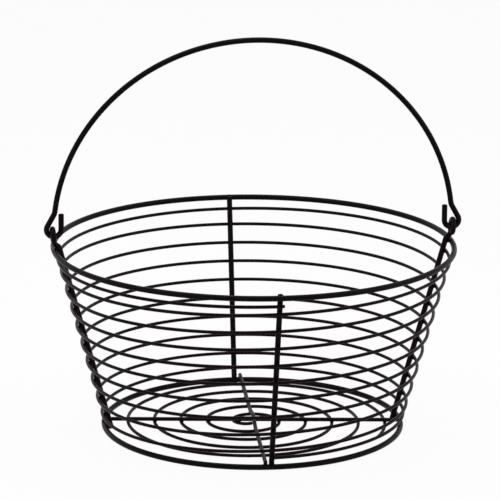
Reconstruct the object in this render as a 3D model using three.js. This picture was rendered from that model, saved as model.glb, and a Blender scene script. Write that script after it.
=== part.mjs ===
// Wire egg basket with a swinging bail.
// Millimetres, +Z up. The origin is the middle of the foot, on the surface that the basket stands on.
// The two ears and the bail's swing axis lie along X.
import * as THREE from "three";

// Wire gauges
const HEAVY_WIRE = 5.3; // rim, foot ring, uprights and bail
const CROSS_WIRE = 3.8; // the two straight wires of the floor
const WINDING_WIRE = 3.2; // the long wire wound round the wall
const SPIRAL_WIRE = 3.2; // the flat coil of the floor
const WELD_GAP = 0.3; // clearance between two wires that lie against each other
const SEAT_GAP = 0.3; // clearance under a hook of the bail, where it rests in its eye

// Overall form, measured on the centre lines of the wires
const RIM_RADIUS = 190;
const RING_RADIUS = 142;
const WALL_HEIGHT = 175; // from the foot ring up to the rim
const UPRIGHT_OVERRUN = 1.5; // how far a plain upright's cut end stands past the rim's middle
const FOOT_CLEARANCE = 1.2; // height of an upright's lower end above the ground

// Wall winding: one wire, from the front upright below the rim to the front upright above the foot ring
const WINDING_TURNS = 10;
const WINDING_BELOW_RIM = 8.6;
const WINDING_ABOVE_RING = 9.3;
const WINDING_LEAD_IN = 1.1; // turns over which the top steepens from level to the full pitch
const WINDING_LEAD_OUT = 1.05; // turns at the foot that are laid flatter
const WINDING_EASE_OUT = 0.5; // turns over which the pitch falls to the flat part
const LEAD_OUT_SLOPE = 0.3; // share of the full pitch at the lower end
const WINDING_TILT = 2.2; // how much lower the turns lie at the left ear, and higher at the right one
const WINDING_TAIL = 2.6; // length of each cut end past the upright that it is welded to

// Floor: a coil hung under two straight wires that lie on the foot ring
const SPIRAL_START_RADIUS = 8;
const SPIRAL_SHORT_OF_RING = 11; // the cut end stops this far inside the ring's centre line
const SPIRAL_START_ANGLE = 277;
const SPIRAL_TURNS = 4.85;
const SPIRAL_CENTRE = new THREE.Vector2(-2.6, 0.5); // the coil is not quite centred on the ring
const ALONG_ANGLE = 87.4; // front to back wire, just beside the uprights' feet
const ALONG_OFFSET = 0;
const ACROSS_ANGLE = -6.6; // side to side wire
const ACROSS_OFFSET = -7.3;
const CROSS_OVERHANG = 1; // how far a straight floor wire reaches past the ring's centre line
const JOGGLE_LENGTH = 70; // length over which one floor wire rises over the other

// Ears and bail
const EYE_INNER_RADIUS = 3.8;
const EYE_HEIGHT = 7.9; // height of the eye's lowest centre line above the rim's
const EYE_OUTSET = 0.7; // how far the eye's centre lies outside the rim's centre line
const EYE_LEAN = 5; // degrees, outwards
const RIM_WRAP_ANGLE = 38; // how far an eared upright wraps over the rim
const EYE_BEND_LENGTH = 3.3; // reach of the bend from the rim into the eye
const EYE_ENTRY_ANGLE = 52; // where that bend meets the eye, from the eye's lowest point
const EYE_END_ANGLE = 327; // where the eye's cut end stops, nearly closed
const HOOK_INNER_WIDTH = 8.5;
const HOOK_INSET = 0.7; // the bail's spring draws each hook this far inwards in its eye
const HOOK_ARM_HEIGHT = 21.3; // height of a hook's free end above the swing axis
const HOOK_KINK_HEIGHT = 22.6; // where the bail's leg kinks outwards, above the swing axis
const HOOK_KINK_RADIUS = 12;
const ARCH_BULGE = 0.3; // how far the arch's widest point stands outside the hooks' middles
const ARCH_BASE_HEIGHT = 2.6; // height of the arch's widest point above the swing axis
const ARCH_HEIGHT = 182.6;

// Facets
const HEAVY_SIDES = 8;
const THIN_SIDES = 6;
const RIM_SEGMENTS = 72;
const RING_SEGMENTS = 64;
const WINDING_STEPS = 40; // for each turn, so that a corner falls on each upright
const SPIRAL_STEPS = 32; // for each turn
const ARCH_STEPS = 36;
const HOOK_STEPS = 12;
const KINK_STEPS = 3;
const EYE_STEPS = 14;
const BEND_STEPS = 4;
const JOGGLE_STEPS = 10;

const COATING = { color: 0x17161a, roughness: 0.42, metalness: 0.0 };

const rad = THREE.MathUtils.degToRad;
const heavy = HEAVY_WIRE / 2;
const cross = CROSS_WIRE / 2;
const winding = WINDING_WIRE / 2;
const spiral = SPIRAL_WIRE / 2;

// Heights of the centre lines, from the ground up
const facetHalf = heavy * Math.cos(Math.PI / HEAVY_SIDES); // the ring rests on a flat facet
const ringZ = facetHalf;
const rimZ = ringZ + WALL_HEIGHT;
const crossZ = ringZ + heavy + WELD_GAP + cross;
const spiralZ = crossZ - cross - WELD_GAP - spiral;
const joggleRise = 2 * cross + WELD_GAP;

// The wall leans outwards by one slope, shared by the uprights and the winding
const wallAngle = Math.atan2(RIM_RADIUS - RING_RADIUS, WALL_HEIGHT);
const uprightInset = (2 * heavy + WELD_GAP) / Math.cos(wallAngle);
const windingOutset = (heavy + WELD_GAP + winding) / Math.cos(wallAngle);
const uprightRadius = (z) => RING_RADIUS - uprightInset + (z - ringZ) * Math.tan(wallAngle);
const windingRadius = (z) => uprightRadius(z) + windingOutset;

const eyeRadius = EYE_INNER_RADIUS + heavy;
const eyeX = RIM_RADIUS + EYE_OUTSET;
const eyeZ = rimZ + EYE_HEIGHT + eyeRadius;
const hookX = eyeX - HOOK_INSET;
const pivotZ = eyeZ - eyeRadius + 2 * heavy + SEAT_GAP; // the bail's own weight sets it low in the eyes

// A wire's centre line: one station for each step of the extrusion, mitred where it bends
class WirePath extends THREE.Curve {
  constructor(stations) {
    super();
    this.stations = stations;
  }

  getPoint(t, target = new THREE.Vector3()) {
    const last = this.stations.length - 1;
    const index = Math.min(Math.floor(t * last + 1e-6), last - 1);
    return target.lerpVectors(this.stations[index], this.stations[index + 1], t * last - index);
  }

  getTangent(t, target = new THREE.Vector3()) {
    const last = this.stations.length - 1;
    const index = Math.round(t * last);
    const before = this.direction(Math.max(index - 1, 0));
    const after = this.direction(Math.min(index, last - 1));
    return target.addVectors(before, after).normalize();
  }

  direction(index) {
    return new THREE.Vector3().subVectors(this.stations[index + 1], this.stations[index]).normalize();
  }

  // Stations keep their places: they aren't spaced out again by length
  getUtoTmapping(u) {
    return u;
  }
}

function roundSection(radius, sides) {
  const corners = [];
  for (let i = 0; i < sides; i++) {
    const angle = ((i + 0.5) / sides) * 2 * Math.PI;
    corners.push(new THREE.Vector2(radius * Math.cos(angle), radius * Math.sin(angle)));
  }
  return corners;
}

function bentWire(stations, radius, sides) {
  return new THREE.ExtrudeGeometry(new THREE.Shape(roundSection(radius, sides)), {
    steps: stations.length - 1,
    extrudePath: new WirePath(stations),
  });
}

// Least clearance between the turns of a wound wire, measured from station to station
function printSelfGap(name, stations, radius, stepsInTurn) {
  let least = Infinity;
  for (let i = 0; i < stations.length; i++) {
    for (let j = i + Math.round(stepsInTurn / 2); j < stations.length; j++) {
      least = Math.min(least, stations[i].distanceTo(stations[j]));
    }
  }
  console.log(`${name}: least gap to itself ${(least - 2 * radius).toFixed(2)} mm`);
}

// A hoop with its ends butt welded: the section is turned once round the Z axis
function hoop(radius, z, segments) {
  const profile = roundSection(heavy, HEAVY_SIDES).map((p) => new THREE.Vector2(radius + p.x, p.y));
  profile.push(profile[0].clone());
  const geometry = new THREE.LatheGeometry(profile, segments);
  geometry.rotateX(Math.PI / 2);
  geometry.translate(0, 0, z);
  return geometry;
}

const polar = (radius, angle, z) =>
  new THREE.Vector3(radius * Math.cos(rad(angle)), radius * Math.sin(rad(angle)), z);

// Straight upright in the XZ plane on the +X side, from its foot to a height z
const uprightAt = (z) => new THREE.Vector3(uprightRadius(z), 0, z);

function plainUpright() {
  return bentWire([uprightAt(FOOT_CLEARANCE), uprightAt(rimZ + UPRIGHT_OVERRUN)], heavy, HEAVY_SIDES);
}

// Point on the eye, at an angle from its lowest point. The eye stands across the swing axis.
function eyeAt(angle) {
  const up = -eyeRadius * Math.cos(rad(angle));
  const side = eyeRadius * Math.sin(rad(angle));
  return new THREE.Vector3(eyeX + up * Math.sin(rad(EYE_LEAN)), side, eyeZ + up * Math.cos(rad(EYE_LEAN)));
}

// Upright whose top goes over the rim and closes into an eye
function earedUpright() {
  const seat = 2 * heavy + WELD_GAP;
  const stations = [uprightAt(FOOT_CLEARANCE)];
  const start = Math.PI - wallAngle;
  const turn = rad(RIM_WRAP_ANGLE);
  for (let i = 0; i <= BEND_STEPS; i++) {
    const angle = start - (turn * i) / BEND_STEPS;
    stations.push(
      new THREE.Vector3(RIM_RADIUS + seat * Math.cos(angle), 0, rimZ + seat * Math.sin(angle)),
    );
  }
  const from = stations.at(-1);
  const leaving = new THREE.Vector3(Math.sin(start - turn), 0, -Math.cos(start - turn));
  const to = eyeAt(EYE_ENTRY_ANGLE);
  const entering = eyeAt(EYE_ENTRY_ANGLE + 1).sub(to).normalize();
  const bend = new THREE.CubicBezierCurve3(
    from,
    from.clone().addScaledVector(leaving, EYE_BEND_LENGTH),
    to.clone().addScaledVector(entering, -EYE_BEND_LENGTH),
    to,
  );
  stations.push(...bend.getPoints(BEND_STEPS).slice(1));
  for (let i = 1; i <= EYE_STEPS; i++) {
    stations.push(eyeAt(EYE_ENTRY_ANGLE + ((EYE_END_ANGLE - EYE_ENTRY_ANGLE) * i) / EYE_STEPS));
  }
  return bentWire(stations, heavy, HEAVY_SIDES);
}

// Full pitches fallen after some turns of the winding, with a level start and a flat end
function turnsFallen(turns) {
  const flatFrom = WINDING_TURNS - WINDING_LEAD_OUT;
  const leadIn = Math.min(turns, WINDING_LEAD_IN);
  const full = Math.max(0, Math.min(turns, flatFrom) - WINDING_LEAD_IN);
  const ease = Math.max(0, Math.min(turns - flatFrom, WINDING_EASE_OUT));
  const flat = Math.max(0, turns - flatFrom - WINDING_EASE_OUT);
  return (
    leadIn ** 2 / (2 * WINDING_LEAD_IN) +
    full +
    ease -
    ((1 - LEAD_OUT_SLOPE) * ease ** 2) / (2 * WINDING_EASE_OUT) +
    LEAD_OUT_SLOPE * flat
  );
}

// The winding goes clockwise, seen from above, from the front upright at 270 degrees
function wallWinding() {
  const top = rimZ - WINDING_BELOW_RIM;
  const foot = ringZ + WINDING_ABOVE_RING;
  const pitch = (top - foot) / turnsFallen(WINDING_TURNS);
  const at = (turns, angle = 270 - 360 * turns) => {
    const z = top - pitch * turnsFallen(turns) + WINDING_TILT * Math.cos(rad(angle));
    return polar(windingRadius(z), angle, z);
  };
  const tailAngle = (radius) => THREE.MathUtils.radToDeg(WINDING_TAIL / radius);
  const stations = [at(0, 270 + tailAngle(windingRadius(top)))];
  for (let i = 0; i <= WINDING_TURNS * WINDING_STEPS; i++) {
    stations.push(at(i / WINDING_STEPS));
  }
  const last = 270 - 360 * WINDING_TURNS;
  stations.push(at(WINDING_TURNS, last - tailAngle(windingRadius(foot))));
  printSelfGap("wall_winding", stations, winding, WINDING_STEPS);
  return bentWire(stations, winding, THIN_SIDES);
}

// The coil grows outwards, clockwise from above
function floorSpiral() {
  const stations = [];
  const steps = Math.round(SPIRAL_TURNS * SPIRAL_STEPS);
  for (let i = 0; i <= steps; i++) {
    const share = i / steps;
    const radius = THREE.MathUtils.lerp(SPIRAL_START_RADIUS, RING_RADIUS - SPIRAL_SHORT_OF_RING, share);
    const point = polar(radius, SPIRAL_START_ANGLE - 360 * SPIRAL_TURNS * share, spiralZ);
    stations.push(point.add(new THREE.Vector3(SPIRAL_CENTRE.x, SPIRAL_CENTRE.y, 0)));
  }
  printSelfGap("floor_spiral", stations, spiral, SPIRAL_STEPS);
  return bentWire(stations, spiral, THIN_SIDES);
}

// A floor wire is a chord of the foot ring: a direction and a sideways offset give its line
function chord(angle, offset) {
  const direction = polar(1, angle, 0);
  const middle = polar(offset, angle + 90, crossZ);
  const half = Math.sqrt((RING_RADIUS + CROSS_OVERHANG) ** 2 - offset ** 2);
  return { half, at: (s, rise = 0) => middle.clone().addScaledVector(direction, s).setZ(crossZ + rise) };
}

function floorWireAcross() {
  const line = chord(ACROSS_ANGLE, ACROSS_OFFSET);
  return bentWire([line.at(-line.half), line.at(line.half)], cross, HEAVY_SIDES);
}

// The front to back wire rises over the other one where they cross
function floorWireAlong() {
  const line = chord(ALONG_ANGLE, ALONG_OFFSET);
  const between = rad(ALONG_ANGLE - ACROSS_ANGLE);
  const crossing = (ACROSS_OFFSET - ALONG_OFFSET * Math.cos(between)) / Math.sin(between);
  const stations = [line.at(-line.half)];
  for (let i = 0; i <= JOGGLE_STEPS; i++) {
    const share = i / JOGGLE_STEPS;
    const rise = (joggleRise * (1 - Math.cos(2 * Math.PI * share))) / 2;
    stations.push(line.at(crossing + JOGGLE_LENGTH * (share - 0.5), rise));
  }
  stations.push(line.at(line.half));
  return bentWire(stations, cross, HEAVY_SIDES);
}

// One hook of the bail, on the +X side, from the kink in the leg down to the free end
function hookStations(kink, legAngle) {
  const radius = HOOK_INNER_WIDTH / 2 + heavy;
  const centre = new THREE.Vector2(hookX, pivotZ + radius);
  const toKink = new THREE.Vector2(kink.x - centre.x, kink.z - centre.y);
  const tangentAngle = toKink.angle() - Math.acos(radius / toKink.length());
  const onBend = (angle) =>
    new THREE.Vector3(centre.x + radius * Math.cos(angle), 0, centre.y + radius * Math.sin(angle));
  const touch = onBend(tangentAngle);
  const slope = new THREE.Vector3().subVectors(touch, kink).normalize();
  const legDown = new THREE.Vector3(Math.sin(legAngle), 0, -Math.cos(legAngle));
  const kinkTurn = Math.acos(THREE.MathUtils.clamp(slope.dot(legDown), -1, 1));
  const setback = HOOK_KINK_RADIUS * Math.tan(kinkTurn / 2);
  const stations = new THREE.QuadraticBezierCurve3(
    kink.clone().addScaledVector(legDown, -setback),
    kink,
    kink.clone().addScaledVector(slope, setback),
  ).getPoints(KINK_STEPS);
  for (let i = 0; i <= HOOK_STEPS; i++) {
    stations.push(onBend(THREE.MathUtils.lerp(tangentAngle, -Math.PI, i / HOOK_STEPS)));
  }
  stations.push(new THREE.Vector3(hookX - radius, 0, pivotZ + HOOK_ARM_HEIGHT));
  return stations;
}

// Half an ellipse over the basket, with a hook bent at each foot
function bailWire() {
  const low = Math.asin((HOOK_KINK_HEIGHT - ARCH_BASE_HEIGHT) / ARCH_HEIGHT);
  const base = pivotZ + ARCH_BASE_HEIGHT;
  const halfWidth = hookX + ARCH_BULGE;
  const arch = (s) => new THREE.Vector3(halfWidth * Math.cos(s), 0, base + ARCH_HEIGHT * Math.sin(s));
  const kink = arch(low);
  const legAngle = Math.atan2(halfWidth * Math.sin(low), ARCH_HEIGHT * Math.cos(low));
  const right = hookStations(kink, legAngle);
  const left = right.map((p) => new THREE.Vector3(-p.x, 0, p.z));
  const stations = left.reverse();
  for (let i = 1; i < ARCH_STEPS; i++) {
    stations.push(arch(THREE.MathUtils.lerp(Math.PI - low, low, i / ARCH_STEPS)));
  }
  stations.push(...right);
  return bentWire(stations, heavy, HEAVY_SIDES);
}

function piece(name, geometry, angle = 0) {
  const mesh = new THREE.Mesh(geometry, new THREE.MeshStandardMaterial(COATING));
  mesh.name = name;
  mesh.rotation.z = rad(angle);
  return mesh;
}

const basket = new THREE.Group();
basket.add(
  piece("top_rim", hoop(RIM_RADIUS, rimZ, RIM_SEGMENTS)),
  piece("bottom_ring", hoop(RING_RADIUS, ringZ, RING_SEGMENTS)),
  piece("front_upright", plainUpright(), 270),
  piece("back_upright", plainUpright(), 90),
  piece("right_upright", earedUpright(), 0),
  piece("left_upright", earedUpright(), 180),
  piece("wall_winding", wallWinding()),
  piece("floor_spiral", floorSpiral()),
  piece("floor_wire_across", floorWireAcross()),
  piece("floor_wire_along", floorWireAlong()),
);

const bail = new THREE.Group();
bail.add(piece("bail", bailWire()));

const eggBasket = new THREE.Group();
eggBasket.add(basket, bail);

export default eggBasket;
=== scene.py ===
# %% [markdown]
# # A wire egg basket, wire by wire
#
# The basket is eleven steel wires, spot welded where they cross and then dipped in black coating. This
# lesson draws each wire's centre line, lets Geometry Nodes sweep a round section along it, adds a bead of
# coating at each weld and gives the whole basket one black finish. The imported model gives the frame: every
# length here is in metres, and every wire lies where the frame has it.

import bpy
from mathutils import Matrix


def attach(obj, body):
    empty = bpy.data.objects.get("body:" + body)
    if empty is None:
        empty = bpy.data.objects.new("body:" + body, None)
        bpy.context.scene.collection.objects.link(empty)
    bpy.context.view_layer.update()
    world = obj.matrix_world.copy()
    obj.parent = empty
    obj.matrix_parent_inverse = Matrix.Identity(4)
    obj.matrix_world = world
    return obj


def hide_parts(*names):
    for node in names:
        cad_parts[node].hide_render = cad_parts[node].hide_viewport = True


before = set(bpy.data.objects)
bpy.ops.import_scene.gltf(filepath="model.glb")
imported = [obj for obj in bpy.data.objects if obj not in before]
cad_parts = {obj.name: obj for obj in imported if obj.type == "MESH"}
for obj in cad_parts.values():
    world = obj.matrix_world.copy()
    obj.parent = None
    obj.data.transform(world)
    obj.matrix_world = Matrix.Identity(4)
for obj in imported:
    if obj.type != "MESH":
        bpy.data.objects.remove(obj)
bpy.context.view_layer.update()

# %% Modules for sums, meshes and places
import math

import bpy
from mathutils import Matrix, Vector

# %% [markdown]
# ## Sizes
#
# Someone who makes such a basket starts with the gauges of the wire and the two hoops. All heights go from
# the ground up, and the wall between the hoops leans outwards by one slope. In the frame the foot's wire
# has eight sides and stands on one of them, so its middle is a little less than a radius above the ground.

# %% Gauges and hoops
mm = 0.001
HEAVY_RADIUS = 2.65 * mm
CROSS_RADIUS = 1.9 * mm
THIN_RADIUS = 1.6 * mm
WELD_GAP = 0.3 * mm
RIM_RADIUS = 190 * mm
FOOT_RADIUS = 142 * mm
WALL_HEIGHT = 175 * mm
FRAME_SIDES = 8

foot_z = HEAVY_RADIUS * math.cos(math.pi / FRAME_SIDES)
rim_z = foot_z + WALL_HEIGHT
cross_z = foot_z + HEAVY_RADIUS + WELD_GAP + CROSS_RADIUS
coil_z = cross_z - CROSS_RADIUS - WELD_GAP - THIN_RADIUS
slope = (RIM_RADIUS - FOOT_RADIUS) / (rim_z - foot_z)
lean = math.atan(slope)
upright_inset = (2 * HEAVY_RADIUS + WELD_GAP) / math.cos(lean)
winding_outset = (HEAVY_RADIUS + WELD_GAP + THIN_RADIUS) / math.cos(lean)


def upright_radius(z):
    """Distance of an upright's centre line from the basket's middle, at a height."""
    return FOOT_RADIUS - upright_inset + (z - foot_z) * slope


print(f"wall leans {math.degrees(lean):.1f} degrees, rim at {rim_z / mm:.1f} mm")

# %% [markdown]
# ## Sums with node sockets
#
# Node trees are easier to read as sums than as boxes and links. `Maths` wraps the output of a node, and
# Python's own operators on it add Math nodes. `Tree.add` makes every other kind of node: it takes the
# node's type, its settings, and what its sockets get, which may be values or other outputs. The same two
# classes serve shaders and Geometry Nodes.


# %% A socket that can be calculated with
class Maths:
    """An output of a node, for use in sums."""

    def __init__(self, tree, socket):
        self.tree = tree
        self.socket = socket

    def sum_node(self, operation, *values):
        inputs = dict(enumerate(values))
        return self.tree.add("ShaderNodeMath", {"operation": operation}, inputs)

    def __add__(self, other):
        return self.sum_node("ADD", self, other)

    def __radd__(self, other):
        return self.sum_node("ADD", other, self)

    def __sub__(self, other):
        return self.sum_node("SUBTRACT", self, other)

    def __rsub__(self, other):
        return self.sum_node("SUBTRACT", other, self)

    def __mul__(self, other):
        return self.sum_node("MULTIPLY", self, other)

    def __rmul__(self, other):
        return self.sum_node("MULTIPLY", other, self)

    def __truediv__(self, other):
        return self.sum_node("DIVIDE", self, other)

    def __rtruediv__(self, other):
        return self.sum_node("DIVIDE", other, self)

    def least(self, other):
        return self.sum_node("MINIMUM", self, other)

    def most(self, other):
        return self.sum_node("MAXIMUM", self, other)

    def sine(self):
        return self.sum_node("SINE", self)

    def cosine(self):
        return self.sum_node("COSINE", self)


# %% A tree that takes any node
class Tree:
    """A node tree, with one method for adding any node."""

    def __init__(self, nodes_and_links):
        self.nodes = nodes_and_links.nodes
        self.links = nodes_and_links.links

    def add(self, kind, settings=None, inputs=None, output=0):
        node = self.nodes.new(kind)
        for name, value in (settings or {}).items():
            setattr(node, name, value)
        for key, value in (inputs or {}).items():
            self.feed(self.find(node.inputs, key), value)
        return Maths(self, self.find(node.outputs, output)) if len(node.outputs) else node

    def find(self, sockets, key):
        """A socket by its number or its name; of several with one name, the one in use."""
        if isinstance(key, int):
            return [socket for socket in sockets if socket.enabled][key]
        return next(socket for socket in sockets if socket.name == key and socket.enabled)

    def feed(self, socket, value):
        if isinstance(value, Maths):
            self.links.new(value.socket, socket)
        else:
            socket.default_value = value


print("sums such as 1 - mask now make Math nodes")

# %% [markdown]
# ## Black dip coating
#
# The coating is a near black, slightly soft gloss with a brown undertone, which shows most on the thin
# wires, where it lies thinnest. On the real basket it isn't even: it runs a little, so the gloss changes
# over a few centimetres, its skin is finely pebbled, and a few duller grains sit in it. Where the hooks
# turn in the eyes, and under the foot, it is rubbed to a duller grey. All of it reads Object coordinates,
# which are metres here, so a scale of 100 puts one patch in each centimetre.

# %% The coating's shades and patches
DEEP_BLACK = Vector((0.0008, 0.0007, 0.0007))
SOFT_BLACK = Vector((0.0022, 0.0020, 0.0019))
UNDERTONE = Vector((0.0045, 0.0, 0.0009))
RUBBED_GREY = (0.045, 0.042, 0.040, 1)
RUN_SCALE = 38.0
DULL_GRAIN_SCALE = 1500.0
RUBBED_SCALE = 420.0
SCUFF_SCALE = 300.0
PEBBLE_SCALE = 900.0
DIMPLE_SCALE = 240.0
PEBBLE_DEPTH = 0.12 * mm
SCUFFED_BELOW = (0.1 * mm, 0.8 * mm)

print("one run of the coating is about", round(1000 / RUN_SCALE), "mm long")


# %% Helpers for any material
def new_material(name):
    """An empty material and its tree."""
    material = bpy.data.materials.new(name)
    material.use_nodes = True
    material.node_tree.nodes.clear()
    return material, Tree(material.node_tree)


def mask(tree, value, low, high):
    """0 up to a low value, 1 from a high one on, and smooth between them."""
    return tree.add(
        "ShaderNodeMapRange",
        {"interpolation_type": "SMOOTHSTEP"},
        {"Value": value, "From Min": low, "From Max": high, "To Min": 0.0, "To Max": 1.0},
    )


# %% The coating's material
def coating(name, rubbed_places=(), gloss=0.0, brown=0.4):
    """Black coating; rubbed_places are (centre, reach) of spots where metal turns on metal."""
    deep, soft = ((*(shade + UNDERTONE * brown), 1) for shade in (DEEP_BLACK, SOFT_BLACK))
    material, tree = new_material(name)
    place = tree.add("ShaderNodeTexCoord", output="Object")

    def grain(scale, detail=3.0):
        return tree.add(
            "ShaderNodeTexNoise",
            {"noise_dimensions": "3D"},
            {"Vector": place, "Scale": scale, "Detail": detail, "Roughness": 0.55},
        )

    def mixed(share, first, second):
        inputs = {"Factor": share, "A": first, "B": second}
        return tree.add("ShaderNodeMix", {"data_type": "RGBA"}, inputs, "Result")

    runs = mask(tree, grain(RUN_SCALE), 0.35, 0.68)
    dull = mask(tree, grain(DULL_GRAIN_SCALE, 1.0), 0.66, 0.74) * 0.5
    for centre, reach in rubbed_places:
        away = tree.add(
            "ShaderNodeVectorMath", {"operation": "DISTANCE"}, {0: place, 1: centre}, "Value"
        )
        near = 1 - mask(tree, away, reach * 0.4, reach)
        dull = dull.most(near * mask(tree, grain(RUBBED_SCALE), 0.42, 0.6))
    height = tree.add("ShaderNodeSeparateXYZ", None, {"Vector": place}, "Z")
    under_foot = 1 - mask(tree, height, *SCUFFED_BELOW)
    dull = dull.most(under_foot * mask(tree, grain(SCUFF_SCALE), 0.38, 0.56))

    pebbles = grain(PEBBLE_SCALE, 2.0) * 0.7 + grain(DIMPLE_SCALE) * 0.3 + dull * 0.2
    bump = tree.add(
        "ShaderNodeBump", None, {"Strength": 0.22, "Distance": PEBBLE_DEPTH, "Height": pebbles}
    )
    shader = tree.add(
        "ShaderNodeBsdfPrincipled",
        None,
        {
            "Base Color": mixed(dull * 0.7, mixed(runs, deep, soft), RUBBED_GREY),
            "Roughness": (0.33 - gloss) + runs * 0.10 + dull * 0.16,
            "Normal": bump,
            "Specular IOR Level": 0.05,
        },
    )
    tree.add("ShaderNodeOutputMaterial", None, {"Surface": shader})
    return material


# %% [markdown]
# The bail's hooks hang in the eyes of the two side uprights, each on the lowest point of its eye. The
# middle of the hook's wire there is the axis that the bail swings about, and the coating is worn round it.

# %% The coatings of this basket
EYE_HEIGHT = 7.9 * mm
RUBBED_REACH = 8 * mm

hook_x = RIM_RADIUS
pivot_z = rim_z + EYE_HEIGHT + 2 * HEAVY_RADIUS + WELD_GAP
hook_places = [((side * hook_x, 0.0, pivot_z), RUBBED_REACH) for side in (-1, 1)]

thick_black = coating("coating_on_thick_wire")
thin_black = coating("coating_on_thin_wire", gloss=0.02, brown=1.0)
eye_black = coating("coating_worn_in_the_eye", hook_places, brown=1.0)
bead_black = coating("coating_pooled_at_welds", gloss=0.08)
bail_black = coating("coating_on_the_bail", hook_places)
print("coatings:", ", ".join(m.name for m in bpy.data.materials if m.name.startswith("coating")))

# %% [markdown]
# ## Sweeping a wire
#
# A drawn wire is a round section moved along a line, which is what Curve to Mesh does. Its cut ends were
# sheared flat before the dip, and the coating rounds them off, so each end gets a flat button, the coating
# that gathers there. `sweep` adds these nodes to any Geometry Nodes tree, after the nodes that make the
# line, and every tree ends in Realize Instances and Set Material.

# %% Nodes that sweep a wire
BUTTON_WIDTH = 0.998
BUTTON_DEPTH = 0.34


def ball_of(tree, segments, rings, radius=0.5):
    return tree.add(
        "GeometryNodeMeshUVSphere", None, {"Segments": segments, "Rings": rings, "Radius": radius}
    )


def sweep(tree, line, diameter, sides, cut_ends=True):
    """Adds a round section along a line, with coated buttons on its cut ends, and returns the parts."""
    section = tree.add(
        "GeometryNodeCurvePrimitiveCircle", None, {"Resolution": sides, "Radius": diameter * 0.5}
    )
    wire = tree.add(
        "GeometryNodeCurveToMesh", None, {"Curve": line, "Profile Curve": section, "Fill Caps": cut_ends}
    )
    if not cut_ends:
        return [wire]
    along = tree.add("GeometryNodeInputTangent")
    turn = tree.add("FunctionNodeAlignRotationToVector", {"axis": "Z"}, {"Vector": along})
    width = diameter * BUTTON_WIDTH
    scale = tree.add("ShaderNodeCombineXYZ", None, {"X": width, "Y": width, "Z": diameter * BUTTON_DEPTH})
    places = {"Points": line, "Selection": tree.add("GeometryNodeCurveEndpointSelection")}
    button = {"Instance": ball_of(tree, 20, 12), "Rotation": turn, "Scale": scale}
    return [wire, tree.add("GeometryNodeInstanceOnPoints", None, {**places, **button})]


# %% Opening and closing a tree
def new_tree(name, sizes):
    """An empty Geometry Nodes tree with named inputs, and those inputs as sockets for sums."""
    group = bpy.data.node_groups.new(name, "GeometryNodeTree")
    group.is_modifier = True
    group.interface.new_socket("Geometry", in_out="OUTPUT", socket_type="NodeSocketGeometry")
    group.interface.new_socket("Geometry", in_out="INPUT", socket_type="NodeSocketGeometry")
    for label, value in sizes.items():
        kind = "NodeSocketInt" if isinstance(value, int) else "NodeSocketFloat"
        group.interface.new_socket(label, in_out="INPUT", socket_type=kind)
    group.interface.new_socket("Finish", in_out="INPUT", socket_type="NodeSocketMaterial")
    tree = Tree(group)
    entry = tree.nodes.new("NodeGroupInput")
    return group, tree, {socket.name: Maths(tree, socket) for socket in entry.outputs}


def close_tree(tree, parts, finish):
    """Joins the parts, makes instances real, smooths the faces and sets the material."""
    joined = tree.nodes.new("GeometryNodeJoinGeometry")
    for part in parts:
        tree.links.new(part.socket, joined.inputs[0])
    real = tree.add("GeometryNodeRealizeInstances", None, {"Geometry": Maths(tree, joined.outputs[0])})
    smooth = tree.add("GeometryNodeSetShadeSmooth", None, {"Geometry": real})
    coated = tree.add("GeometryNodeSetMaterial", None, {"Geometry": smooth, "Material": finish})
    tree.add("NodeGroupOutput", None, {"Geometry": coated})


print("sweep, new_tree and close_tree are ready")

# %% [markdown]
# ## From a tree to a piece
#
# The modifier's inputs are set by each socket's identifier before the object is first looked at. The
# evaluated object then gives a plain mesh, and that mesh is the piece: it rides on a body of the frame and
# stands for the frame's own wire, which stays hidden for the physics.


# %% Making a piece
def make_piece(name, group, sizes, finish, body, replaced=(), points=None, attributes=None):
    """Runs a tree on points joined in a line, on loose points with attributes, or on nothing."""
    source = bpy.data.meshes.new(name + "_line")
    if points:
        edges = [] if attributes else [(i, i + 1) for i in range(len(points) - 1)]
        source.from_pydata(points, edges, [])
    for label, vectors in (attributes or {}).items():
        layer = source.attributes.new(label, "FLOAT_VECTOR", "POINT")
        layer.data.foreach_set("vector", [number for vector in vectors for number in vector])
    worker = bpy.data.objects.new(name + "_worker", source)
    bpy.context.scene.collection.objects.link(worker)
    modifier = worker.modifiers.new("nodes", "NODES")
    modifier.node_group = group
    settings = dict(sizes, Finish=finish)
    for socket in group.interface.items_tree:
        if socket.in_out == "INPUT" and socket.name in settings:
            modifier[socket.identifier] = settings[socket.name]
    depsgraph = bpy.context.evaluated_depsgraph_get()
    mesh = bpy.data.meshes.new_from_object(worker.evaluated_get(depsgraph), depsgraph=depsgraph)
    worker.modifiers.remove(modifier)
    bpy.data.objects.remove(worker)
    mesh.name = name
    piece = bpy.data.objects.new(name, mesh)
    bpy.context.scene.collection.objects.link(piece)
    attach(piece, body)
    if replaced:
        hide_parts(*replaced)
    print(f"{name}: {len(mesh.vertices)} points, {len(mesh.polygons)} faces")


# %% [markdown]
# ## Two hoops
#
# The rim and the foot are the same heavy wire, rolled into a hoop and butt welded. The weld leaves a low
# collar, which is a flattened ball here. On both hoops it sits towards the back.

# %% The hoops' tree
hoop_sizes = {
    "Hoop Radius": RIM_RADIUS,
    "Height": rim_z,
    "Wire Diameter": 2 * HEAVY_RADIUS,
    "Weld Angle": 0.0,
    "Steps": 240,
    "Sides": 20,
}
COLLAR_OUT, COLLAR_ALONG, COLLAR_HIGH = 1.10, 0.95, 0.99

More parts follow.
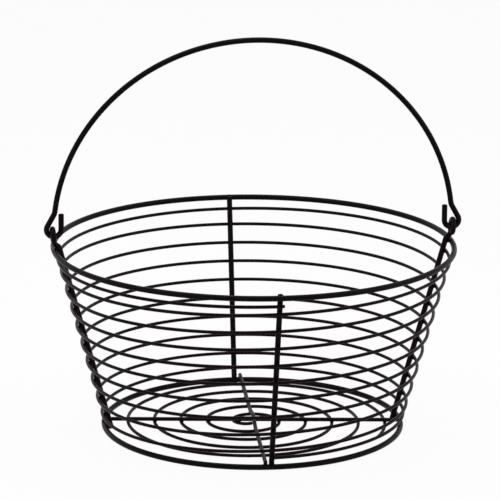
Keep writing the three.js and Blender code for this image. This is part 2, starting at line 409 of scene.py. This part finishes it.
hoop_group, tree, size = new_tree("welded_hoop", hoop_sizes)
circle = tree.add(
    "GeometryNodeCurvePrimitiveCircle", None, {"Resolution": size["Steps"], "Radius": size["Hoop Radius"]}
)
lift = tree.add("ShaderNodeCombineXYZ", None, {"Z": size["Height"]})
line = tree.add("GeometryNodeSetPosition", None, {"Geometry": circle, "Offset": lift})
collar_place = tree.add(
    "ShaderNodeCombineXYZ",
    None,
    {
        "X": size["Hoop Radius"] * size["Weld Angle"].cosine(),
        "Y": size["Hoop Radius"] * size["Weld Angle"].sine(),
        "Z": size["Height"],
    },
)
collar_turn = tree.add("ShaderNodeCombineXYZ", None, {"Z": size["Weld Angle"]})
collar_size = tree.add(
    "ShaderNodeCombineXYZ",
    None,
    {
        "X": size["Wire Diameter"] * COLLAR_OUT,
        "Y": size["Wire Diameter"] * COLLAR_ALONG,
        "Z": size["Wire Diameter"] * COLLAR_HIGH,
    },
)
weld_collar = tree.add(
    "GeometryNodeTransform",
    None,
    {
        "Geometry": ball_of(tree, 24, 14),
        "Translation": collar_place,
        "Rotation": collar_turn,
        "Scale": collar_size,
    },
)
hoop = sweep(tree, line, size["Wire Diameter"], size["Sides"], cut_ends=False)
close_tree(tree, hoop + [weld_collar], size["Finish"])
print("nodes in the hoops' tree:", len(tree.nodes))

# %% The hoops
for name, node, radius, z, weld_degrees in (
    ("rim_hoop", "top_rim", RIM_RADIUS, rim_z, 121),
    ("foot_hoop", "bottom_ring", FOOT_RADIUS, foot_z, 74),
):
    changed = {"Hoop Radius": radius, "Height": z, "Weld Angle": math.radians(weld_degrees)}
    make_piece(name, hoop_group, dict(hoop_sizes, **changed), thick_black, "basket", [node])

# %% [markdown]
# ## The wall's long wire
#
# One thin wire goes ten times round the outside of the uprights, clockwise from above. It starts level
# under the rim, falls by a steady pitch, and lies nearly level again on its last turn, as a wire does when
# it is wound on a former. Wound by hand, its turns aren't quite square to the basket: they lie two
# millimetres lower at the left ear and higher at the right one. That is a rule, so Geometry Nodes make
# it: each point of a straight line knows its share of the way, and a sum on that share gives its turn,
# its height and its distance out. The welds need the same rule later for plain numbers, so it is written
# once, with `least`, `most` and `cosine` that take either kind.

# %% The winding's rule
WINDING_START = math.radians(270)
winding_sizes = {
    "Turns": 10.0,
    "Top": rim_z - 8.6 * mm,
    "Bottom": foot_z + 9.3 * mm,
    "Lead In": 1.1,
    "Lead Out": 1.05,
    "Ease Out": 0.5,
    "Lead Out Slope": 0.3,
    "Tilt": 2.2 * mm,
    "Radius At Foot": FOOT_RADIUS - upright_inset + winding_outset,
    "Wall Slope": slope,
    "Tail": 2.6 * mm,
    "Wire Diameter": 2 * THIN_RADIUS,
    "Steps": 1400,
    "Sides": 14,
}


def least(a, b):
    return a.least(b) if isinstance(a, Maths) else min(a, b)


def most(a, b):
    return a.most(b) if isinstance(a, Maths) else max(a, b)


def cosine(a):
    return a.cosine() if isinstance(a, Maths) else math.cos(a)


def turns_fallen(turns, size):
    """Full pitches fallen after some turns: a level start, a steady fall, a flat end."""
    level_from = size["Turns"] - size["Lead Out"]
    lead = least(turns, size["Lead In"])
    steady = most(least(turns, level_from) - size["Lead In"], 0.0)
    ease = most(least(turns - level_from, size["Ease Out"]), 0.0)
    level = most(turns - level_from - size["Ease Out"], 0.0)
    start = lead * lead / (size["Lead In"] * 2)
    end = ease - (1 - size["Lead Out Slope"]) * ease * ease / (size["Ease Out"] * 2)
    return start + steady + end + size["Lead Out Slope"] * level


def winding_height(turns, angle, size):
    """Height of the winding after some turns, where it has come to an angle about the basket."""
    share_fallen = turns_fallen(turns, size) / turns_fallen(size["Turns"], size)
    return size["Top"] - (size["Top"] - size["Bottom"]) * share_fallen + size["Tilt"] * cosine(angle)


middle_turn = winding_height(5.0, WINDING_START, winding_sizes)
print(f"after five turns the winding is {middle_turn / mm:.1f} mm above the ground")


# %% Nodes for a line that follows a rule
def even_points(tree, count):
    """A line of evenly spaced points, and each point's share of the way along it."""
    straight = tree.add("GeometryNodeCurvePrimitiveLine")
    even = tree.add("GeometryNodeResampleCurve", None, {"Curve": straight, "Count": count})
    return even, tree.add("GeometryNodeSplineParameter", output="Factor")


def wire_through(tree, size, points, x, y, z):
    """Moves the points of a line to their places, sweeps the wire along it and closes the tree."""
    spot = tree.add("ShaderNodeCombineXYZ", None, {"X": x, "Y": y, "Z": z})
    line = tree.add("GeometryNodeSetPosition", None, {"Geometry": points, "Position": spot})
    close_tree(tree, sweep(tree, line, size["Wire Diameter"], size["Sides"]), size["Finish"])


print("even_points and wire_through are ready")

# %% The winding
winding_group, tree, size = new_tree("wound_wall", winding_sizes)
points, share = even_points(tree, size["Steps"])
tail_turn = size["Tail"] / (size["Radius At Foot"] * (2 * math.pi))
swept = share * (size["Turns"] + tail_turn * 2) - tail_turn
angle = WINDING_START - swept * (2 * math.pi)
height = winding_height(swept.most(0.0).least(size["Turns"]), angle, size)
distance = size["Radius At Foot"] + (height - foot_z) * size["Wall Slope"]
wire_through(tree, size, points, distance * angle.cosine(), distance * angle.sine(), height)
make_piece("wall_wire", winding_group, winding_sizes, thin_black, "basket", ["wall_winding"])

# %% [markdown]
# ## The floor's coil
#
# The floor is one thin wire coiled flat, nearly five turns, from a small open loop in the middle to a cut
# end just inside the foot hoop. It hangs under the two straight wires, and its middle is a little off the
# hoop's. Its distance out grows evenly with its angle, so the tree is the winding's in two dimensions.

# %% The coil
COIL_MIDDLE = Vector((-2.6, 0.5)) * mm
COIL_START = 277
COIL_TURNS = 4.85
COIL_SHORT_OF_HOOP = 11 * mm
coil_sizes = {
    "First Radius": 8 * mm,
    "Last Radius": FOOT_RADIUS - COIL_SHORT_OF_HOOP,
    "First Angle": math.radians(COIL_START),
    "Last Angle": math.radians(COIL_START - 360 * COIL_TURNS),
    "Middle X": COIL_MIDDLE.x,
    "Middle Y": COIL_MIDDLE.y,
    "Height": coil_z,
    "Wire Diameter": 2 * THIN_RADIUS,
    "Steps": 640,
    "Sides": 14,
}


def on_coil(share, size):
    """Distance from the coil's middle and angle, at a share of the way along it."""
    distance = size["First Radius"] + (size["Last Radius"] - size["First Radius"]) * share
    return distance, size["First Angle"] + (size["Last Angle"] - size["First Angle"]) * share


coil_group, tree, size = new_tree("floor_coil", coil_sizes)
points, share = even_points(tree, size["Steps"])
distance, angle = on_coil(share, size)
x = size["Middle X"] + distance * angle.cosine()
y = size["Middle Y"] + distance * angle.sine()
wire_through(tree, size, points, x, y, size["Height"])
make_piece("floor_coil", coil_group, coil_sizes, thin_black, "basket", ["floor_spiral"])

# %% [markdown]
# ## A tree for bent wires
#
# The other wires are bent by hand in a jig, so each is a list of points worked out in Python. This tree
# turns such points into a line and sweeps it.

# %% The bent wires' tree
bent_sizes = {"Wire Diameter": 2 * HEAVY_RADIUS, "Sides": 20}
bent_group, tree, size = new_tree("bent_wire", bent_sizes)
line = tree.add("GeometryNodeMeshToCurve", None, {"Mesh": size["Geometry"]})
close_tree(tree, sweep(tree, line, size["Wire Diameter"], size["Sides"]), size["Finish"])


def turned(points, degrees):
    """Points turned about the basket's middle."""
    c, s = math.cos(math.radians(degrees)), math.sin(math.radians(degrees))
    return [Vector((x * c - y * s, x * s + y * c, z)) for x, y, z in points]


print("a bent wire takes", ", ".join(bent_sizes))

# %% [markdown]
# ## Two floor wires
#
# Two thicker straight wires lie on the foot hoop and carry the coil. Neither is quite square to the
# uprights, because each passes just beside a foot. Where they cross, the front to back wire is kinked up
# over the other by one thickness.

# %% The floor wires' lines
CROSS_REACH = FOOT_RADIUS + 1 * mm
ALONG = math.radians(87.4)
ACROSS = math.radians(-6.6)
ACROSS_OFFSET = -7.3 * mm
KINK_LENGTH = 70 * mm
KINK_RISE = 2 * CROSS_RADIUS + WELD_GAP
KINK_STEPS = 40


def floor_point(direction, offset, along, rise=0.0):
    """A point on a floor wire: a direction, a sideways offset and a distance along it."""
    x = along * math.cos(direction) - offset * math.sin(direction)
    y = along * math.sin(direction) + offset * math.cos(direction)
    return (x, y, cross_z + rise)


crossing = ACROSS_OFFSET / math.sin(ALONG - ACROSS)
along_points = [floor_point(ALONG, 0, -CROSS_REACH)]
for i in range(KINK_STEPS + 1):
    part = i / KINK_STEPS
    rise = KINK_RISE * (1 - math.cos(2 * math.pi * part)) / 2
    along_points.append(floor_point(ALONG, 0, crossing + KINK_LENGTH * (part - 0.5), rise))
along_points.append(floor_point(ALONG, 0, CROSS_REACH))
half = math.sqrt(CROSS_REACH**2 - ACROSS_OFFSET**2)
across_points = [floor_point(ACROSS, ACROSS_OFFSET, end) for end in (-half, half)]
print(f"the floor wires cross {-crossing / mm:.1f} mm in front of the middle")

# %% The floor wires
cross_sizes = dict(bent_sizes, **{"Wire Diameter": 2 * CROSS_RADIUS, "Sides": 16})
for name, points, node in (
    ("floor_wire_front_to_back", along_points, "floor_wire_along"),
    ("floor_wire_side_to_side", across_points, "floor_wire_across"),
):
    make_piece(name, bent_group, cross_sizes, thin_black, "basket", [node], points)

# %% [markdown]
# ## Plain uprights
#
# The front and the back upright are straight, cut at both ends. They stand inside both hoops, and their
# top ends come level with the top of the rim.

# %% The plain uprights
FOOT_CLEARANCE = 1.2 * mm
UPRIGHT_OVERRUN = 1.5 * mm


def on_upright(z):
    return Vector((upright_radius(z), 0, z))


upright_points = [on_upright(FOOT_CLEARANCE), on_upright(rim_z + UPRIGHT_OVERRUN)]
for node, degrees in (("front_upright", 270), ("back_upright", 90)):
    points = turned(upright_points, degrees)
    make_piece(node + "_wire", bent_group, bent_sizes, thick_black, "basket", [node], points)

# %% [markdown]
# ## Eared uprights
#
# The two side uprights pass inside the rim, bend over it, twist a quarter turn and close into an eye that
# stands across the basket's side. A Bezier between the bend over the rim and the eye gives the twist, with
# its ends along both, so that the wire has no corner.

# %% The eye
EYE_INNER_RADIUS = 3.8 * mm
EYE_OUTSET = 0.7 * mm
EYE_LEAN = math.radians(5)
EYE_ENTRY = math.radians(52)
EYE_END = math.radians(327)
BEND_STEPS = 48

eye_radius = EYE_INNER_RADIUS + HEAVY_RADIUS
eye_out = RIM_RADIUS + EYE_OUTSET
eye_z = rim_z + EYE_HEIGHT + eye_radius


def on_eye(a):
    """A point of the eye, by its angle from the eye's lowest point."""
    up = -eye_radius * math.cos(a)
    x = eye_out + up * math.sin(EYE_LEAN)
    return Vector((x, eye_radius * math.sin(a), eye_z + up * math.cos(EYE_LEAN)))


def bezier(a, b, c, d, steps):
    """Points after a on a cubic Bezier."""
    out = []
    for i in range(1, steps + 1):
        t = i / steps
        u = 1 - t
        out.append(a * u**3 + b * (3 * t * u**2) + c * (3 * t**2 * u) + d * t**3)
    return out


print(f"the eyes stand {eye_z / mm:.1f} mm above the ground")

# %% The eared uprights
RIM_WRAP = math.radians(38)
WRAP_STEPS = 10
EYE_BEND_LENGTH = 3.3 * mm
EYE_BEND_STEPS = 12
SHORT_STEP = 0.01

wrap_radius = 2 * HEAVY_RADIUS + WELD_GAP
wrap_start = math.pi - lean
wrap_end = wrap_start - RIM_WRAP
ear_points = [on_upright(FOOT_CLEARANCE)]
for i in range(WRAP_STEPS + 1):
    a = wrap_start - RIM_WRAP * i / WRAP_STEPS
    x, z = RIM_RADIUS + wrap_radius * math.cos(a), rim_z + wrap_radius * math.sin(a)
    ear_points.append(Vector((x, 0, z)))
leaving = Vector((math.sin(wrap_end), 0, -math.cos(wrap_end)))
entering = (on_eye(EYE_ENTRY + SHORT_STEP) - on_eye(EYE_ENTRY)).normalized()
start, end = ear_points[-1], on_eye(EYE_ENTRY)
after_start, before_end = start + leaving * EYE_BEND_LENGTH, end - entering * EYE_BEND_LENGTH
ear_points += bezier(start, after_start, before_end, end, EYE_BEND_STEPS)
eye_angle = EYE_END - EYE_ENTRY
ear_points += [on_eye(EYE_ENTRY + eye_angle * i / BEND_STEPS) for i in range(1, BEND_STEPS + 1)]
for node, degrees in (("right_upright", 0), ("left_upright", 180)):
    points = turned(ear_points, degrees)
    make_piece(node + "_wire", bent_group, bent_sizes, eye_black, "basket", [node], points)

# %% [markdown]
# ## The bail
#
# The carrying wire is half an ellipse. Each leg kinks outwards near its foot, and ends in a hook that goes
# down, through the eye from outside and up again inside. One hook is worked out on the right and mirrored.

# %% The bail's arch and where it meets the hook
ARCH_BULGE = 0.3 * mm
ARCH_HEIGHT = 182.6 * mm
ARCH_BASE_HEIGHT = 2.6 * mm
KINK_HEIGHT = 22.6 * mm
HOOK_INNER_RADIUS = 4.25 * mm

arch_half_width = hook_x + ARCH_BULGE
arch_base = pivot_z + ARCH_BASE_HEIGHT
hook_radius = HOOK_INNER_RADIUS + HEAVY_RADIUS
middle = Vector((hook_x, 0, pivot_z + hook_radius))


def on_arch(a):
    return Vector((arch_half_width * math.cos(a), 0, arch_base + ARCH_HEIGHT * math.sin(a)))


def on_hook(a):
    return middle + Vector((math.cos(a), 0, math.sin(a))) * hook_radius


low = math.asin((pivot_z + KINK_HEIGHT - arch_base) / ARCH_HEIGHT)
kink = on_arch(low)
leg = math.atan2(arch_half_width * math.sin(low), ARCH_HEIGHT * math.cos(low))
leg_down = Vector((math.sin(leg), 0, -math.cos(leg)))
to_kink = kink - middle
touch = math.atan2(to_kink.z, to_kink.x) - math.acos(hook_radius / to_kink.length)
print(f"the legs kink {kink.z / mm:.1f} mm above the ground")

# %% The bail
KINK_RADIUS = 12 * mm
KINK_BEND_STEPS = 10
KINK_HANDLE = 0.33
HOOK_ARM_HEIGHT = 21.3 * mm
ARCH_STEPS = 160

down = (on_hook(touch) - kink).normalized()
setback = KINK_RADIUS * math.tan(down.angle(leg_down) / 2)
start, end = kink - leg_down * setback, kink + down * setback
after_start, before_end = kink - leg_down * setback * KINK_HANDLE, kink + down * setback * KINK_HANDLE
hook = [start]
hook += bezier(start, after_start, before_end, end, KINK_BEND_STEPS)
hook += [on_hook(touch + (-math.pi - touch) * i / BEND_STEPS) for i in range(BEND_STEPS + 1)]
hook.append(Vector((hook_x - hook_radius, 0, pivot_z + HOOK_ARM_HEIGHT)))
mirrored = [Vector((-p.x, 0, p.z)) for p in reversed(hook)]
arch = [on_arch(math.pi - low + (2 * low - math.pi) * i / ARCH_STEPS) for i in range(1, ARCH_STEPS)]
arch = [p for p in arch if p.z > start.z]
bail_points = mirrored + arch + hook
make_piece("carrying_bail", bent_group, bent_sizes, bail_black, "bail", ["bail"], bail_points)

# %% [markdown]
# ## Beads of coating at the welds
#
# At each crossing the spot weld sinks one wire a little into the other, and the coating pools in the
# corner. From close by that is a small bead between two wires. There are about seventy, so Geometry Nodes
# set one ball on each point of a mesh. Each point stores which way the second wire lies, which way it
# runs, and the bead's three half sizes: along that wire, across it, and from wire to wire.

# %% Where the wall's welds are
WINDING_BEAD = Vector((2.4, 1.9, 1.25)) * mm
HOOP_BEAD = Vector((3.0, 2.8, 1.6)) * mm
welds = []


def weld(point, towards, along, bead):
    """Notes one bead: its place, the way to the second wire, that wire's direction, and its size."""
    welds.append((Vector(point), Vector(towards).normalized(), Vector(along).normalized(), bead))


def weld_on_wall(wire, wire_radius, degrees, bead):
    """Notes the bead between an upright and a wire outside it, both turned about the basket."""
    outwards = Vector((math.cos(lean), 0, -math.sin(lean)))
    touching = wire - outwards * (wire_radius + WELD_GAP / 2)
    weld(*turned([touching, outwards, Vector((0, 1, 0))], degrees), bead)


for quarter in range(4 * round(winding_sizes["Turns"]) + 1):
    angle = WINDING_START - math.pi / 2 * quarter
    z = winding_height(quarter / 4, angle, winding_sizes)
    wire = Vector((upright_radius(z) + winding_outset, 0, z))
    weld_on_wall(wire, THIN_RADIUS, math.degrees(angle), WINDING_BEAD)
for degrees in (0, 90, 180, 270):
    for radius, z in ((RIM_RADIUS, rim_z), (FOOT_RADIUS, foot_z)):
        weld_on_wall(Vector((radius, 0, z)), HEAVY_RADIUS, degrees, HOOP_BEAD)
print("welds on the wall:", len(welds))

# %% [markdown]
# The floor's welds come from where its wires cross in plan: both ends of each straight wire on the hoop,
# the straight wires on each other, and each straight wire on the coil. The coil's crossings are found by
# walking along it and noting each change of side. Under the kink the straight wire is off the coil, so
# there is no weld.

# %% Welds of the straight floor wires
FLOOR_END_BEAD = Vector((2.3, 2.1, 1.5)) * mm
CROSSING_BEAD = Vector((2.2, 2.2, 1.4)) * mm
UP = (0, 0, 1)

for direction, offset in ((ALONG, 0), (ACROSS, ACROSS_OFFSET)):
    length = math.sqrt(FOOT_RADIUS**2 - offset**2)
    ahead = (math.cos(direction), math.sin(direction), 0)
    for side in (-1, 1):
        place = floor_point(direction, offset, side * length, -CROSS_RADIUS - WELD_GAP / 2)
        weld(place, UP, ahead, FLOOR_END_BEAD)
place = floor_point(ALONG, 0, crossing, CROSS_RADIUS + WELD_GAP / 2)
weld(place, UP, (math.cos(ALONG), math.sin(ALONG), 0), CROSSING_BEAD)

# %% Welds of the coil
COIL_BEAD = Vector((2.0, 1.9, 1.15)) * mm
RAISED_SHARE = 0.32
COIL_WALK = 4000

coil_points = []
for i in range(COIL_WALK + 1):
    distance, a = on_coil(i / COIL_WALK, coil_sizes)
    coil_points.append(COIL_MIDDLE + Vector((math.cos(a), math.sin(a))) * distance)
for direction, offset in ((ALONG, 0), (ACROSS, ACROSS_OFFSET)):
    across = Vector((-math.sin(direction), math.cos(direction)))
    ahead = Vector((math.cos(direction), math.sin(direction)))
    for a, b in zip(coil_points, coil_points[1:]):
        crosses = (a.dot(across) - offset) * (b.dot(across) - offset) <= 0
        raised = direction == ALONG and abs(a.dot(ahead) - crossing) < RAISED_SHARE * KINK_LENGTH
        if crosses and not raised:
            weld((a.x, a.y, coil_z + THIN_RADIUS + WELD_GAP / 2), UP, (ahead.x, ahead.y, 0), COIL_BEAD)
print("welds in all:", len(welds))

# %% [markdown]
# The tree turns each ball twice: first its short axis towards the second wire, then its long axis along
# that wire, without disturbing the first turn.

# %% The beads
bead_sizes = {"Segments": 18, "Rings": 10}
bead_group, tree, size = new_tree("weld_beads", bead_sizes)
ball = ball_of(tree, size["Segments"], size["Rings"], 1.0)


def stored(name):
    return tree.add("GeometryNodeInputNamedAttribute", {"data_type": "FLOAT_VECTOR"}, {"Name": name})


facing = tree.add("FunctionNodeAlignRotationToVector", {"axis": "Z"}, {"Vector": stored("towards")})
turned_twice = tree.add(
    "FunctionNodeAlignRotationToVector",
    {"axis": "X", "pivot_axis": "Z"},
    {"Rotation": facing, "Vector": stored("along")},
)
beads = tree.add(
    "GeometryNodeInstanceOnPoints",
    None,
    {"Points": size["Geometry"], "Instance": ball, "Rotation": turned_twice, "Scale": stored("bead")},
)
close_tree(tree, [beads], size["Finish"])
places, *directions_and_sizes = (list(column) for column in zip(*welds))
make_piece(
    "weld_beads",
    bead_group,
    bead_sizes,
    bead_black,
    "basket",
    points=places,
    attributes=dict(zip(("towards", "along", "bead"), directions_and_sizes)),
)

# %% [markdown]
# ## Floor, light and camera
#
# A black wire shows only by what it reflects, so the light is large and soft: one wide panel above and a
# weaker one at each side. The floor and the world are white to the camera, and the floor keeps a faint
# shadow under the foot.

# %% The floor
FLOOR_REACH = 12.0
FLOOR_Z = -0.2 * mm
FLOOR_GREY = (0.86, 0.86, 0.86, 1)
WHITE = (1, 1, 1, 1)
SHADOW_SHARE = 0.06


def seen_share(tree):
    """1 for rays from the camera, off gloss and through glass, and 0 for rays that only light things."""
    camera, gloss, glass = (
        tree.add("ShaderNodeLightPath", output=f"Is {kind} Ray")
        for kind in ("Camera", "Glossy", "Transmission")
    )
    return camera.most(gloss).most(glass)


pale, tree = new_material("pale_floor")
matte = tree.add("ShaderNodeBsdfDiffuse", None, {"Color": FLOOR_GREY})
white = tree.add("ShaderNodeEmission", None, {"Color": WHITE, "Strength": 1.0})
whiteness = seen_share(tree) * (1 - SHADOW_SHARE)
blend = tree.add("ShaderNodeMixShader", None, {0: whiteness, 1: matte, 2: white})
tree.add("ShaderNodeOutputMaterial", None, {"Surface": blend})

mesh = bpy.data.meshes.new("floor")
signs = ((-1, -1), (1, -1), (1, 1), (-1, 1))
corners = [(x * FLOOR_REACH, y * FLOOR_REACH, FLOOR_Z) for x, y in signs]
mesh.from_pydata(corners, [], [(0, 1, 2, 3)])
mesh.materials.append(pale)
floor = bpy.data.objects.new("floor", mesh)
bpy.context.scene.collection.objects.link(floor)
print(f"the floor reaches {FLOOR_REACH:.0f} m from the middle")

# %% World and lamps
FILL_LIGHT = 0.45
AIM = (0, 0, 0.15)

world = bpy.data.worlds.new("studio")
bpy.context.scene.world = world
world.use_nodes = True
world.node_tree.nodes.clear()
tree = Tree(world.node_tree)
strength = seen_share(tree) * (1 - FILL_LIGHT) + FILL_LIGHT
sky = tree.add("ShaderNodeBackground", None, {"Color": WHITE, "Strength": strength})
tree.add("ShaderNodeOutputWorld", None, {"Surface": sky})


def panel(name, place, width, depth, watts):
    """A soft rectangular lamp that faces the basket."""
    data = bpy.data.lights.new(name, "AREA")
    data.shape = "RECTANGLE"
    data.size, data.size_y = width, depth
    data.energy = watts
    lamp = bpy.data.objects.new(name, data)
    lamp.location = place
    lamp.rotation_mode = "QUATERNION"
    lamp.rotation_quaternion = (Vector(AIM) - Vector(place)).to_track_quat("-Z", "Y")
    bpy.context.scene.collection.objects.link(lamp)
    print(f"{name}: {watts} W")


panel("panel_above", (-0.1, 0.2, 1.6), 1.6, 1.2, 14)
panel("panel_left", (-1.7, -0.9, 0.8), 1.0, 1.2, 3)
panel("panel_right", (1.7, -0.7, 0.9), 1.0, 1.2, 5)

# %% [markdown]
# The camera repeats the photograph's: a long lens from nearly four metres away, 15 degrees above the
# basket and a little to one side, so that the front upright stands right of the middle. It is turned half
# a degree about its own line of sight.

# %% The camera
CAMERA_TURN = math.radians(-7.6)
CAMERA_TILT = math.radians(14.745)
CAMERA_ROLL = math.radians(0.481)
CAMERA_AWAY = 3.8112
SEEN_ASIDE = -3.537 * mm
SEEN_HEIGHT = 170.507 * mm + foot_z
FOCAL_PIXELS = 4016.4
IMAGE_PIXELS = 500

data = bpy.data.cameras.new("photo_camera")
data.sensor_width = 36
data.lens = FOCAL_PIXELS / IMAGE_PIXELS * data.sensor_width
data.clip_start, data.clip_end = 0.1, 50
camera = bpy.data.objects.new("photo_camera", data)
aside = Vector((math.cos(CAMERA_TURN), math.sin(CAMERA_TURN), 0))
level = Vector((-math.sin(CAMERA_TURN), math.cos(CAMERA_TURN), 0))
forward = level * math.cos(CAMERA_TILT) - Vector((0, 0, math.sin(CAMERA_TILT)))
upward = aside.cross(forward)
right_side = aside * math.cos(CAMERA_ROLL) + upward * math.sin(CAMERA_ROLL)
top_side = upward * math.cos(CAMERA_ROLL) - aside * math.sin(CAMERA_ROLL)
axes = Matrix((right_side, top_side, -forward)).transposed().to_4x4()
place = aside * SEEN_ASIDE + Vector((0, 0, SEEN_HEIGHT)) - forward * CAMERA_AWAY
camera.matrix_world = Matrix.Translation(place) @ axes
bpy.context.scene.collection.objects.link(camera)
bpy.context.scene.camera = camera
bpy.context.scene.view_settings.view_transform = "Standard"
print(f"lens {data.lens:.1f} mm")
